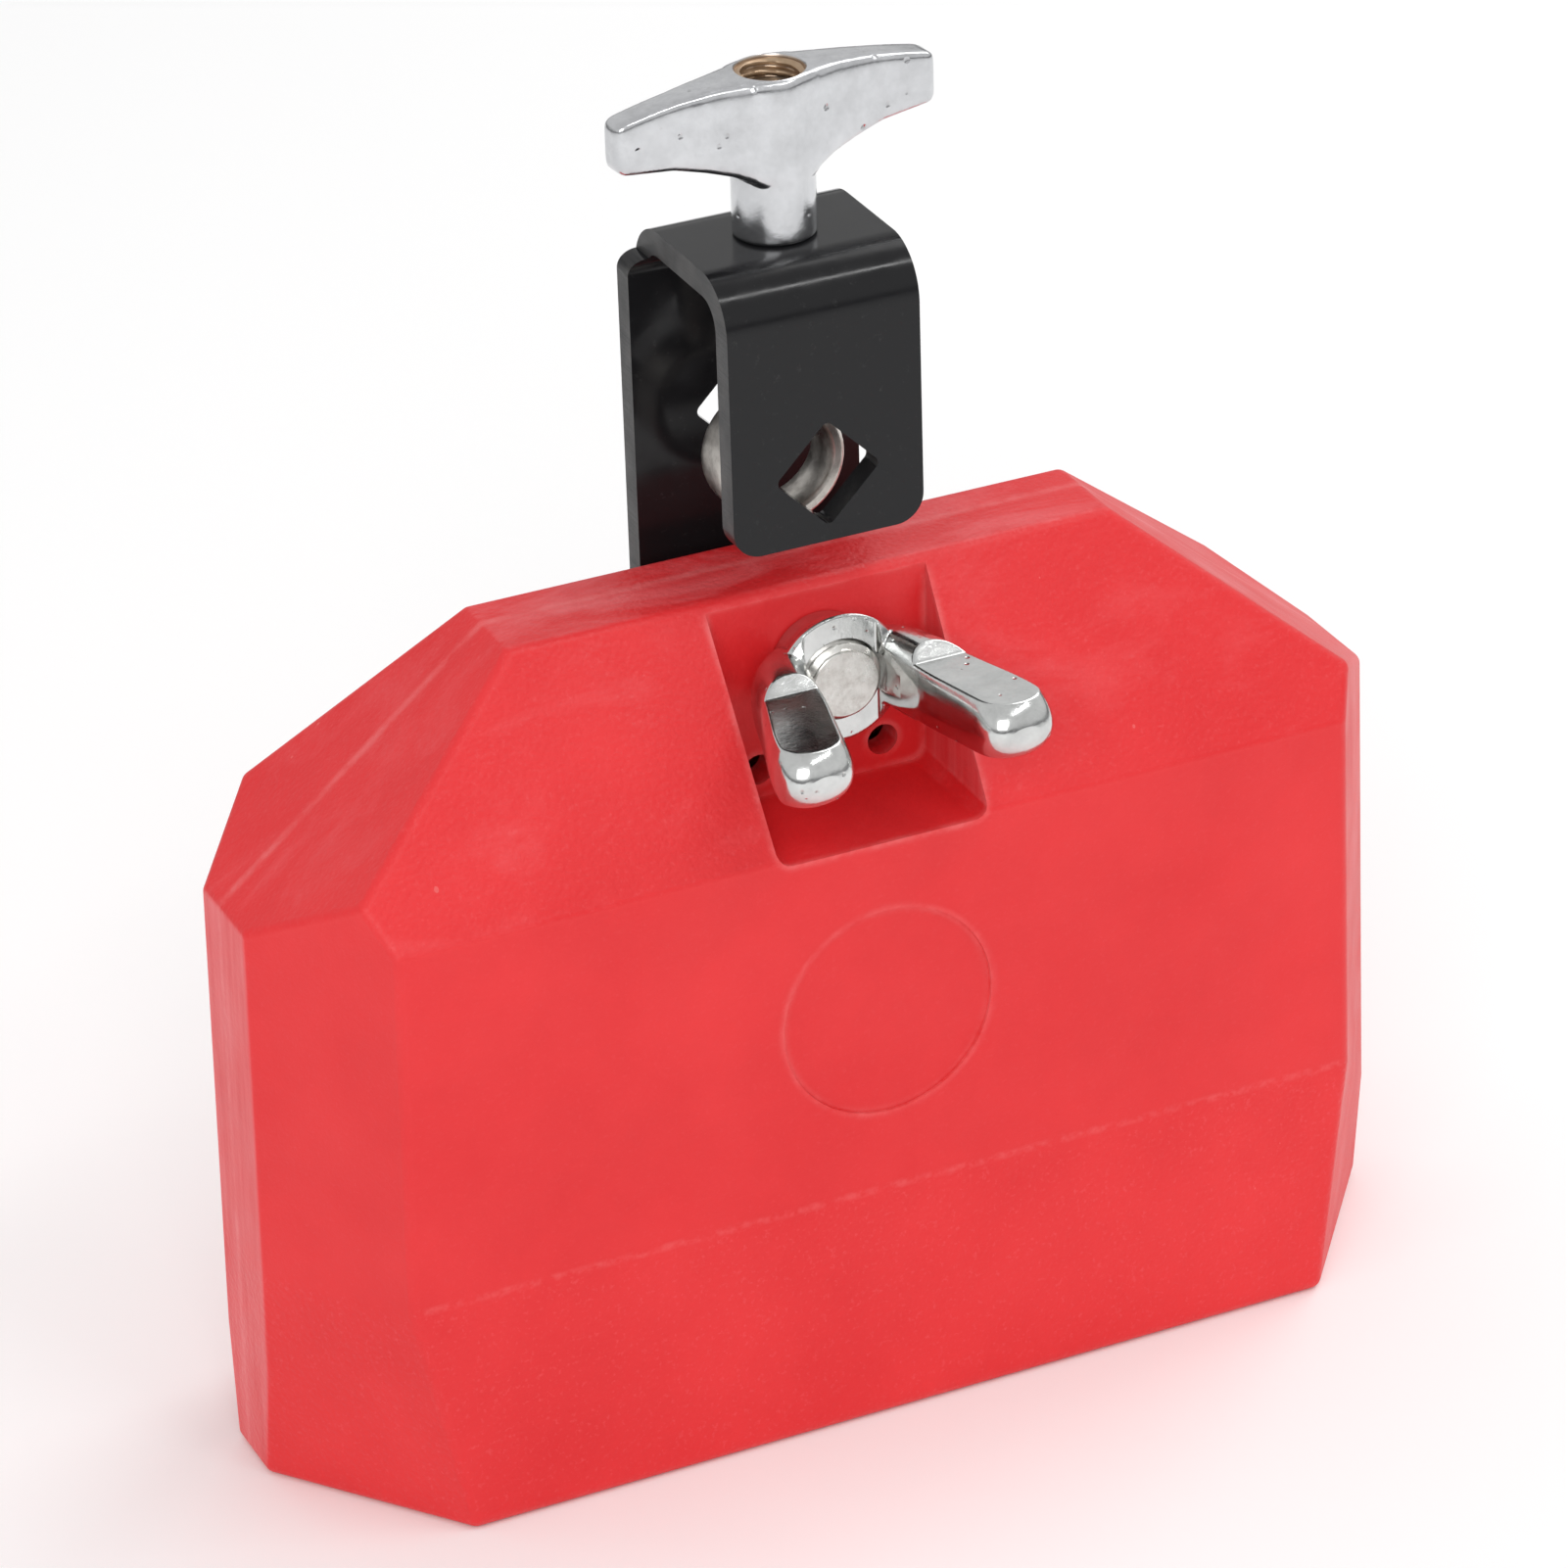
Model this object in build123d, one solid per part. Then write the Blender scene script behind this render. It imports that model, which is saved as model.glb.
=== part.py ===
from build123d import *
import math
import os

# A hollow plastic percussion block (jam block) with a rod clamp bolted to it.
# Millimetres, +Z up.  X runs along the block, the playing face looks to -Y.
# Origin: centre of the underside, on the plane where the two half shells meet.

# ---- block ---------------------------------------------------------------
BLOCK_WIDTH = 150.0
BLOCK_HEIGHT = 105.9
FRONT_STRIP = 7.9        # seam plane to the front edge of the narrow rim
REAR_STRIP = 5.4         # seam plane to the rear edge of the narrow rim
FRONT_DEPTH = 26.0       # seam plane to the playing face
REAR_DEPTH = 18.6        # seam plane to the back face
FLARE_FRONT = 3.0        # how far the skirt stands out in front at the bottom
FLARE_REAR = 2.4
SIDE_DRAFT = 1.3         # the ends spread this much towards the bottom
UPPER_CREASE_Z = 79.4
LOWER_CREASE_Z = 31.0
SIDE_CHAMFER = 12.25     # width across X of the sloping side facets
CORNER_SIDE_Z = 77.0     # where the top corner cuts start on the sides
CORNER_TOP_X = 39.7      # where they end on the top
SKIRT_SIDE_Z = 16.0      # the lower corner facets, on the end strip
SKIRT_TOE_X = 58.0       # and on the bottom edge; they start at the lower crease
WALL = 4.0
EDGE_ROUND = 1.6

SLOT_LENGTH = 46.0       # two sound slots underneath, either side of a rib
SLOT_WIDTH = 9.0
RIB_WIDTH = 14.0

DISC_CENTRE_Z = 55.5
DISC_RADIUS = 13.9
DISC_DEPTH = 0.4

# ---- wing nut pocket in the front, bracket pocket in the back --------------
POCKET_HALF_TOP = 14.7
POCKET_HALF_LOW = 13.9
POCKET_FLOOR_Y = -8.6
POCKET_LOW_Z = 78.6
POCKET_CORNER = 2.0
PIN_HOLE_X = 8.3
PIN_HOLE_Z = 82.4
PIN_HOLE_RADIUS = 2.0
SEAT_HALF = 15.3
SEAT_FLOOR_Y = 9.8
SEAT_LOW_Z = 79.2
BOSS_RADIUS = 9.5

# ---- clamp bracket ---------------------------------------------------------
STRAP = 3.2              # sheet thickness
BRACKET_OUTER_Y = 13.0   # outer faces of both legs, either side of the seam
BRACKET_TOP_Z = 147.9
TONGUE_HALF = 12.4       # top plate and front leg
PLATE_HALF = 14.8        # rear plate
PLATE_LOW_Z = 80.4
FRONT_LEG_LOW_Z = 113.1
BEND_RADIUS = 6.7        # outside of both bends
SHOULDER_Z = 143.6
SHOULDER_ROUND = 2.3
LEG_CORNER = 3.6
DIAMOND_SIDE = 9.7
DIAMOND_CORNER = 0.9
DIAMOND_Z = 121.85
SHANK_HOLE_RADIUS = 4.06

# ---- bolts -----------------------------------------------------------------
BOLT_Z = 95.5
BOLT_RADIUS = 5.0        # M10
BOLT_TIP_Y = -16.4
BOLT_HEAD_RADIUS = 9.6
BOLT_HEAD_HEIGHT = 4.8
NECK_HALF = 5.0
NECK_CLEARANCE = 0.06
BORE_CLEARANCE = 0.06
THREAD_CLEARANCE = 0.05

# ---- eye bolt --------------------------------------------------------------
EYE_Z = 119.3
EYE_OFFSET = -1.2        # the ring hangs a little off the line of its shank
EYE_OUTER = 8.15
EYE_INNER = 6.35
EYE_HALF_WIDTH = 3.2
EYE_SHANK_RADIUS = 4.0   # M8
EYE_SHANK_TOP_Z = 166.0

# ---- T handle --------------------------------------------------------------
HANDLE_TURN = 4.0        # degrees from the X axis, as it happens to stand
HANDLE_HALF = 21.4
HANDLE_TOP_Z = 168.7
HANDLE_TIP_TOP_Z = 166.3
HANDLE_TIP_LOW_Z = 160.0
HANDLE_HUB_HALF = 5.4
HANDLE_TIP_HALF = 2.1
STEM_RADIUS = 5.05

# ---- wing nut --------------------------------------------------------------
HUB_BASE_RADIUS = 6.4
HUB_NOSE_RADIUS = 8.4
CHANNEL_Y = -15.0        # flat between the wings, where the bolt comes out
WING_HALF_THICK = 3.6
WING_END_Y = -38.4


def cut_away(solid, point, normal):
    """Drop everything on the side the normal points to."""
    plane = Plane(origin=point, z_dir=normal)
    return split(solid, bisect_by=plane, keep=Keep.BOTTOM)


def side_profile():
    """The block seen from the end, as a closed outline of (y, z) points."""
    return [
        (-FRONT_STRIP, BLOCK_HEIGHT),
        (-FRONT_DEPTH, UPPER_CREASE_Z),
        (-FRONT_DEPTH, LOWER_CREASE_Z),
        (-FRONT_DEPTH - FLARE_FRONT, 0.0),
        (REAR_DEPTH + FLARE_REAR, 0.0),
        (REAR_DEPTH, LOWER_CREASE_Z),
        (REAR_DEPTH, UPPER_CREASE_Z),
        (REAR_STRIP, BLOCK_HEIGHT),
    ]


def plane_of(a, b, c, inset, inside):
    """Point and outward normal of the plane through three points, moved inward."""
    a, b, c, inside = Vector(*a), Vector(*b), Vector(*c), Vector(*inside)
    normal = (b - a).cross(c - a).normalized()
    if normal.dot(inside - a) > 0:
        normal = normal * -1
    point = a - normal * inset
    return (point.X, point.Y, point.Z), (normal.X, normal.Y, normal.Z)


def draft_at(z):
    """Extra half-width of the block at a height below the shoulders."""
    return SIDE_DRAFT * (CORNER_SIDE_Z - z) / CORNER_SIDE_Z


def corner_planes(sx, strip, depth, flare):
    """Point triples for the upright flank and the lower facet of one corner."""
    end = sx * BLOCK_WIDTH / 2
    edge = end - sx * SIDE_CHAMFER
    high = CORNER_SIDE_Z
    flank = ((end, strip, high), (edge, depth, high), (end + sx * draft_at(0), strip, 0))
    facet = (
        (end + sx * draft_at(SKIRT_SIDE_Z), strip, SKIRT_SIDE_Z),
        (edge + sx * draft_at(LOWER_CREASE_Z), depth, LOWER_CREASE_Z),
        (sx * SKIRT_TOE_X, depth + flare, 0),
    )
    return flank, facet


def block_body(inset=0.0):
    """The faceted pillow shape; a positive inset gives the hollow inside."""
    outline = make_face(Plane.YZ * Polyline(*side_profile(), close=True))
    if inset:
        outline = offset(outline, amount=-inset, kind=Kind.INTERSECTION)
    body = extrude(outline, amount=BLOCK_WIDTH, both=True)
    middle = (0, 0, BLOCK_HEIGHT / 2)
    for sx in (-1, 1):
        end = sx * BLOCK_WIDTH / 2
        foot = end + sx * draft_at(0)
        high = CORNER_SIDE_Z
        cuts = [
            ((end, 0, high), (end, 10, high), (foot, 0, 0)),
            ((end, 0, high), (end, 10, high), (sx * CORNER_TOP_X, 0, BLOCK_HEIGHT)),
            *corner_planes(sx, -FRONT_STRIP, -FRONT_DEPTH, -FLARE_FRONT),
            *corner_planes(sx, REAR_STRIP, REAR_DEPTH, FLARE_REAR),
        ]
        for cut in cuts:
            body = cut_away(body, *plane_of(*cut, inset, middle))
    return body


def pocket_outline(half_low, half_top, low_z):
    """Upright trapezium, open at the top, drawn looking along Y."""
    points = [
        (-half_low, low_z), (half_low, low_z),
        (half_top, BLOCK_HEIGHT + 6), (-half_top, BLOCK_HEIGHT + 6),
    ]
    face = make_face(Plane.XZ * Polyline(*points, close=True))
    low = face.vertices().sort_by(Axis.Z)[0:2]
    return fillet(low, POCKET_CORNER)


def front_pocket(grow=0.0):
    face = pocket_outline(POCKET_HALF_LOW + grow, POCKET_HALF_TOP + grow, POCKET_LOW_Z - grow)
    # Plane.XZ looks to -Y, so a positive amount runs forward.
    return Pos(0, POCKET_FLOOR_Y + grow, 0) * extrude(face, amount=40)


def rear_seat(grow=0.0):
    face = pocket_outline(SEAT_HALF + grow, SEAT_HALF + grow, SEAT_LOW_Z - grow)
    return Pos(0, SEAT_FLOOR_Y - grow, 0) * extrude(face, amount=-40)


def along_y(radius, y_from, y_to, x=0.0, z=BOLT_Z):
    """Round bar parallel to Y between two stations."""
    length = abs(y_to - y_from)
    bar = Cylinder(radius, length, rotation=(90, 0, 0))
    return Pos(x, (y_from + y_to) / 2, z) * bar


def hollow_block():
    outer = block_body()
    outer = fillet(outer.edges(), EDGE_ROUND)
    cavity = block_body(WALL)
    cavity -= front_pocket(WALL)
    cavity -= rear_seat(WALL)
    cavity -= along_y(BOSS_RADIUS, -30, 30)
    block = outer - cavity - front_pocket() - rear_seat()
    block -= along_y(BOLT_RADIUS + BORE_CLEARANCE, -40, 40)
    for x in (-PIN_HOLE_X, PIN_HOLE_X):
        block -= along_y(PIN_HOLE_RADIUS, POCKET_FLOOR_Y - 1, POCKET_FLOOR_Y + 4.5, x, PIN_HOLE_Z)
    for sx in (-1, 1):
        x = sx * (RIB_WIDTH + SLOT_LENGTH) / 2
        block -= Pos(x, 0, 0) * Box(SLOT_LENGTH, SLOT_WIDTH, 20)
    block -= along_y(DISC_RADIUS, -FRONT_DEPTH - 2, -FRONT_DEPTH + DISC_DEPTH, 0, DISC_CENTRE_Z)
    return block


def front_shell():
    return cut_away(hollow_block(), (0, 0, 0), (0, 1, 0))


def rear_shell():
    return cut_away(hollow_block(), (0, 0, 0), (0, -1, 0))


def strap_outline():
    """The bracket from the end: rear plate, top plate and front leg."""
    out = BRACKET_OUTER_Y
    inn = out - STRAP
    top = BRACKET_TOP_Z
    under = top - STRAP
    points = [
        (-out, FRONT_LEG_LOW_Z), (-out, top), (out, top), (out, PLATE_LOW_Z),
        (inn, PLATE_LOW_Z), (inn, under), (-inn, under), (-inn, FRONT_LEG_LOW_Z),
    ]
    face = make_face(Plane.YZ * Polyline(*points, close=True))
    upper = face.vertices().filter_by(lambda v: v.Z > top - 1)
    face = fillet(upper, BEND_RADIUS)
    inner = face.vertices().filter_by(lambda v: abs(v.Z - under) < 0.1 and abs(v.Y) < inn + 0.1)
    return fillet(inner, BEND_RADIUS - STRAP)


def diamond_hole():
    side = DIAMOND_SIDE
    outline = fillet((Plane.XZ * Rectangle(side, side, rotation=45)).vertices(), DIAMOND_CORNER)
    return Pos(0, 0, DIAMOND_Z) * extrude(outline, amount=30, both=True)


def is_foot(edge):
    return edge.center().Z < FRONT_LEG_LOW_Z + 0.5


def is_shoulder(edge):
    at = edge.center()
    return abs(at.Z - SHOULDER_Z) < 0.1 and abs(at.X) > PLATE_HALF - 0.1


def clamp_bracket():
    strap = extrude(strap_outline(), amount=PLATE_HALF, both=True)
    side = PLATE_HALF - TONGUE_HALF
    reach = BRACKET_OUTER_Y - STRAP - 1.0
    for sx in (-1, 1):
        x = sx * (TONGUE_HALF + side / 2 + 1)
        strap -= Pos(x, reach - 30, 130) * Box(side + 2, 60, 80)
        strap -= Pos(x, 0, SHOULDER_Z + 10) * Box(side + 2, 60, 20)
    strap = fillet(strap.edges().filter_by(Axis.Y).filter_by(is_foot), LEG_CORNER)
    strap = fillet(strap.edges().filter_by(Axis.Y).filter_by(is_shoulder), SHOULDER_ROUND)
    strap -= diamond_hole()
    strap -= Pos(0, 0, BRACKET_TOP_Z) * Cylinder(SHANK_HOLE_RADIUS, 20)
    hole = 2 * (NECK_HALF + NECK_CLEARANCE)
    strap -= Pos(0, BRACKET_OUTER_Y, BOLT_Z) * Box(hole, 12, hole)
    return strap


def mounting_bolt():
    """Cup-head coach bolt put in from the back, square neck in the rear plate."""
    seat = BRACKET_OUTER_Y
    bolt = along_y(BOLT_RADIUS, seat, BOLT_TIP_Y)
    tip = bolt.edges().filter_by(GeomType.CIRCLE).sort_by(Axis.Y)[0]
    bolt = chamfer(tip, 0.7)
    bolt += Pos(0, seat - STRAP / 2, BOLT_Z) * Box(2 * NECK_HALF, STRAP, 2 * NECK_HALF)
    rim, rise = BOLT_HEAD_RADIUS, BOLT_HEAD_HEIGHT
    dome = (rim * rim + rise * rise) / (2 * rise)
    ball = Pos(0, seat + rise - dome, BOLT_Z) * Sphere(dome)
    head = ball & along_y(rim + 1, seat, seat + rise + 1)
    return bolt + head


def eye_bolt():
    ring = along_y(EYE_OUTER, -EYE_HALF_WIDTH, EYE_HALF_WIDTH, EYE_OFFSET, EYE_Z)
    ring = chamfer(ring.edges(), 0.35)
    low = EYE_Z + (EYE_OUTER + EYE_INNER) / 2
    length = EYE_SHANK_TOP_Z - low
    shank = Pos(0, 0, low + length / 2) * Cylinder(EYE_SHANK_RADIUS, length)
    shank = chamfer(shank.edges().sort_by(Axis.Z)[-1], 0.6)
    bolt = ring + shank
    return bolt - along_y(EYE_INNER, -20, 20, EYE_OFFSET, EYE_Z)


def handle_plan():
    """Half-widths along the handle, hub in the middle, blunt tips."""
    hub, tip, end = HANDLE_HUB_HALF, HANDLE_TIP_HALF, HANDLE_HALF
    stations = [(0.0, hub), (2.8, 4.75), (7.5, 3.2), (13.5, 2.35), (end - 1.2, tip)]
    right_front = [(x, -w) for x, w in stations[1:]]
    right_back = [(x, w) for x, w in reversed(stations[1:])]
    left_back = [(-x, w) for x, w in stations[1:]]
    left_front = [(-x, -w) for x, w in reversed(stations[1:])]
    edges = [
        Spline((0, -hub), *right_front),
        ThreePointArc(right_front[-1], (end, 0), right_back[0]),
        Spline(*right_back, (0, hub)),
        Spline((0, hub), *left_back),
        ThreePointArc(left_back[-1], (-end, 0), left_front[0]),
        Spline(*left_front, (0, -hub)),
    ]
    return make_face(Wire(edges))


def handle_elevation():
    """The arms from the front: arched top, hollow underside."""
    end, low = HANDLE_HALF, HANDLE_TIP_LOW_Z
    tip_top = HANDLE_TIP_TOP_Z
    under = [(end - 1.6, low), (14.0, low - 0.7), (9.6, low - 2.2), (6.2, low - 4.2)]
    left = [(-x, z) for x, z in reversed(under)]
    edges = [
        ThreePointArc((-end, tip_top), (0, HANDLE_TOP_Z), (end, tip_top)),
        Line((end, tip_top), (end, low + 1.6)),
        Line((end, low + 1.6), under[0]),
        Spline(*under),
        Line(under[-1], left[0]),
        Spline(*left),
        Line(left[-1], (-end, low + 1.6)),
        Line((-end, low + 1.6), (-end, tip_top)),
    ]
    return make_face(Wire([Plane.XZ * e for e in edges]))


def t_handle():
    arms = extrude(handle_plan(), amount=200) & extrude(handle_elevation(), amount=20, both=True)
    length = HANDLE_TIP_LOW_Z - BRACKET_TOP_Z
    stem = Pos(0, 0, BRACKET_TOP_Z + length / 2) * Cylinder(STEM_RADIUS, length)
    handle = arms + stem
    bore = Pos(0, 0, 160) * Cylinder(EYE_SHANK_RADIUS + THREAD_CLEARANCE, 60)
    return (handle - bore).rotate(Axis.Z, HANDLE_TURN)


def wing_plate(sx):
    """One wing: a thick slab leaning outward, seen from above."""
    points = [
        (sx * 4.4, -12.0), (sx * 5.6, -21.3), (sx * 9.2, -36.6), (sx * 10.8, WING_END_Y),
        (sx * 14.6, WING_END_Y), (sx * 17.5, -35.6), (sx * 13.8, -22.0), (sx * 11.2, -14.0),
        (sx * 7.2, -9.9), (sx * 5.2, -9.9),
    ]
    face = make_face(Polyline(*points, close=True))
    slab = Pos(0, 0, BOLT_Z) * extrude(face, amount=WING_HALF_THICK, both=True)
    far = slab.edges().filter_by(lambda e: e.center().Y < -14)
    return fillet(far, 1.3)


def wing_nut():
    base = POCKET_FLOOR_Y
    height = CHANNEL_Y - base
    hub = Cone(HUB_BASE_RADIUS, HUB_NOSE_RADIUS, abs(height), rotation=(90, 0, 0))
    hub = Pos(0, base + height / 2, BOLT_Z) * hub
    nut = hub + wing_plate(-1) + wing_plate(1)
    return nut - along_y(BOLT_RADIUS + THREAD_CLEARANCE, 0, -60)


NODES = {
    "front_shell": front_shell,
    "rear_shell": rear_shell,
    "clamp_bracket": clamp_bracket,
    "mounting_bolt": mounting_bolt,
    "wing_nut": wing_nut,
    "eye_bolt": eye_bolt,
    "t_handle": t_handle,
}

os.makedirs("parts", exist_ok=True)
for name, make in NODES.items():
    solid = make()
    export_step(solid, f"parts/{name}.step")
    box = solid.bounding_box()
    print(f"{name:15s} volume {solid.volume:10.1f}  z {box.min.Z:7.2f} to {box.max.Z:7.2f}")
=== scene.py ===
import math

import bmesh
import bpy
import numpy as np
from mathutils import Matrix, Vector


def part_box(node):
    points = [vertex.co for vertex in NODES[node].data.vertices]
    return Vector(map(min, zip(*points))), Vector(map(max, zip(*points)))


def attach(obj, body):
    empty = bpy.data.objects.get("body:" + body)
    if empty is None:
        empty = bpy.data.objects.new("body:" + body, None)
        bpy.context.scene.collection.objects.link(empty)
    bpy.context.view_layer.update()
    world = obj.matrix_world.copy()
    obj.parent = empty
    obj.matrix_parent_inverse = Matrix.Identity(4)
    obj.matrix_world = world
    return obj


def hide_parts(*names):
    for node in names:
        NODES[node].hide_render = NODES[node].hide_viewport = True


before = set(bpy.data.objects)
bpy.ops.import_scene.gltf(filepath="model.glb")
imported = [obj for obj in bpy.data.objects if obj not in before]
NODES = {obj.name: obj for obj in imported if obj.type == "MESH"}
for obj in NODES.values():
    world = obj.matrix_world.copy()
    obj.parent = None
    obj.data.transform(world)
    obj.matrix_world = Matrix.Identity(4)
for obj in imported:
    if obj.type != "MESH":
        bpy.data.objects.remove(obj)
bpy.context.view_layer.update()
MM = 0.001


def corners(node):
    """Low and high corners of a CAD piece's box, in millimetres."""
    return [Vector(corner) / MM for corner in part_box(node)]


# Shared stations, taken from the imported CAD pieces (millimetres).
BOLT_LOW, BOLT_HIGH = corners("mounting_bolt")
EYE_LOW, EYE_HIGH = corners("eye_bolt")
BOLT_Z = (BOLT_LOW.z + BOLT_HIGH.z) / 2
BRACKET_TOP = corners("clamp_bracket")[1].z
BRACKET_BACK = corners("clamp_bracket")[1].y
HANDLE_TOP = corners("t_handle")[1].z
NUT_SEAT = corners("wing_nut")[1].y
M8_PITCH, M10_PITCH = 1.25, 1.5
# A cut thread's section: flank steepness, and how much of the pitch is flat crest.
THREAD_FLANK, THREAD_CREST = 1.55, 0.27


# ---------------------------------------------------------------- mesh tools
def make_object(name, verts_mm, faces):
    """A mesh object from vertices in millimetres, its normals facing out."""
    mesh = bpy.data.meshes.new(name)
    mesh.from_pydata([tuple(c * MM for c in v) for v in verts_mm], [], faces)
    mesh.validate()
    obj = bpy.data.objects.new(name, mesh)
    bpy.context.scene.collection.objects.link(obj)
    bm = bmesh.new()
    bm.from_mesh(mesh)
    bmesh.ops.recalc_face_normals(bm, faces=bm.faces)
    bm.to_mesh(mesh)
    bm.free()
    return obj


def bake(obj):
    """Replace an object's mesh with the result of its modifiers."""
    depsgraph = bpy.context.evaluated_depsgraph_get()
    mesh = bpy.data.meshes.new_from_object(obj.evaluated_get(depsgraph))
    obj.modifiers.clear()
    obj.data = mesh
    return obj


def drop(obj):
    bpy.data.objects.remove(obj, do_unlink=True)


def boolean(obj, other, operation):
    """Apply a boolean at once and remove the cutter."""
    mod = obj.modifiers.new("bool", "BOOLEAN")
    mod.operation = operation
    mod.solver = "MANIFOLD"
    mod.object = other
    bake(obj)
    drop(other)
    return obj


def fuse(name, parts, voxel_mm, smoothing):
    """Melt overlapping closed meshes into one casting with soft corners."""
    bm = bmesh.new()
    for part in parts:
        bm.from_mesh(part.data)
    mesh = bpy.data.meshes.new(name)
    bm.to_mesh(mesh)
    bm.free()
    for part in parts:
        drop(part)
    obj = bpy.data.objects.new(name, mesh)
    bpy.context.scene.collection.objects.link(obj)
    remesh = obj.modifiers.new("remesh", "REMESH")
    remesh.mode = "VOXEL"
    remesh.voxel_size = voxel_mm * MM
    smooth = obj.modifiers.new("smooth", "SMOOTH")
    smooth.factor = 0.5
    smooth.iterations = smoothing
    return bake(obj)


def shade(obj, angle=35.0):
    """Smooth shading with creases kept where faces meet sharply."""
    bm = bmesh.new()
    bm.from_mesh(obj.data)
    limit = math.radians(angle)
    for face in bm.faces:
        face.smooth = True
    for edge in bm.edges:
        edge.smooth = len(edge.link_faces) == 2 and edge.calc_face_angle(0.0) < limit
    bm.to_mesh(obj.data)
    bm.free()
    return obj


def loft(name, rings):
    """Skin closed rings of equal length into a solid with flat ends."""
    count = len(rings[0])
    verts = [v for ring in rings for v in ring]
    faces = []
    for i in range(len(rings) - 1):
        for j in range(count):
            k = (j + 1) % count
            a, b = i * count, (i + 1) * count
            faces.append((a + j, a + k, b + k, b + j))
    faces.append(tuple(range(count)))
    last = (len(rings) - 1) * count
    faces.append(tuple(last + j for j in range(count)))
    return make_object(name, verts, faces)


def lathe(name, profile, place, segments=96):
    """Solid of revolution from (station, radius) pairs; place maps (s, a, b)."""
    rings = []
    for station, radius in profile:
        ring = []
        for j in range(segments):
            t = math.tau * j / segments
            ring.append(place(station, radius * math.cos(t), radius * math.sin(t)))
        rings.append(ring)
    return loft(name, rings)


def up(x=0.0, y=0.0):
    """Place a lathe or thread with its axis upright."""
    return lambda s, a, b: (x + a, y + b, s)


def along_y(x=0.0, z=0.0):
    """Place a lathe or thread with its axis front to back."""
    return lambda s, a, b: (x + a, s, z + b)


def thread(name, major, minor, pitch, start, end, place, bevel=(0.0, 0.0), segments=64):
    """Right-hand threaded rod as a closed skin; bevel gives the depth of each end's cone."""
    steps = max(2, int((end - start) / pitch * 10))
    rings = []
    for i in range(steps + 1):
        s = start + (end - start) * i / steps
        cone = min(major, major - bevel[0] + (s - start), major - bevel[1] + (end - s))
        ring = []
        for j in range(segments):
            t = math.tau * j / segments
            phase = (s / pitch - j / segments) % 1.0
            depth = abs(phase - 0.5) * 2 * THREAD_FLANK - THREAD_CREST
            ramp = min(1.0, max(0.0, depth))
            radius = min(cone, major - (major - minor) * ramp)
            ring.append(place(s, radius * math.cos(t), radius * math.sin(t)))
        rings.append(ring)
    return loft(name, rings)


def squircle(half_a, half_b, power, count=40):
    """Rounded-rectangle outline as (a, b) pairs."""
    out = []
    for j in range(count):
        t = math.tau * (j + 0.5) / count
        c, s = math.cos(t), math.sin(t)
        out.append((
            half_a * math.copysign(abs(c) ** (2 / power), c),
            half_b * math.copysign(abs(s) ** (2 / power), s),
        ))
    return out


def interp(table, x):
    """Straight-line lookup in (x, y) pairs."""
    xs, ys = zip(*table)
    return float(np.interp(x, xs, ys))


# ----------------------------------------------------------------- materials
LOWER_CREASE_Z = 30.9


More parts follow.
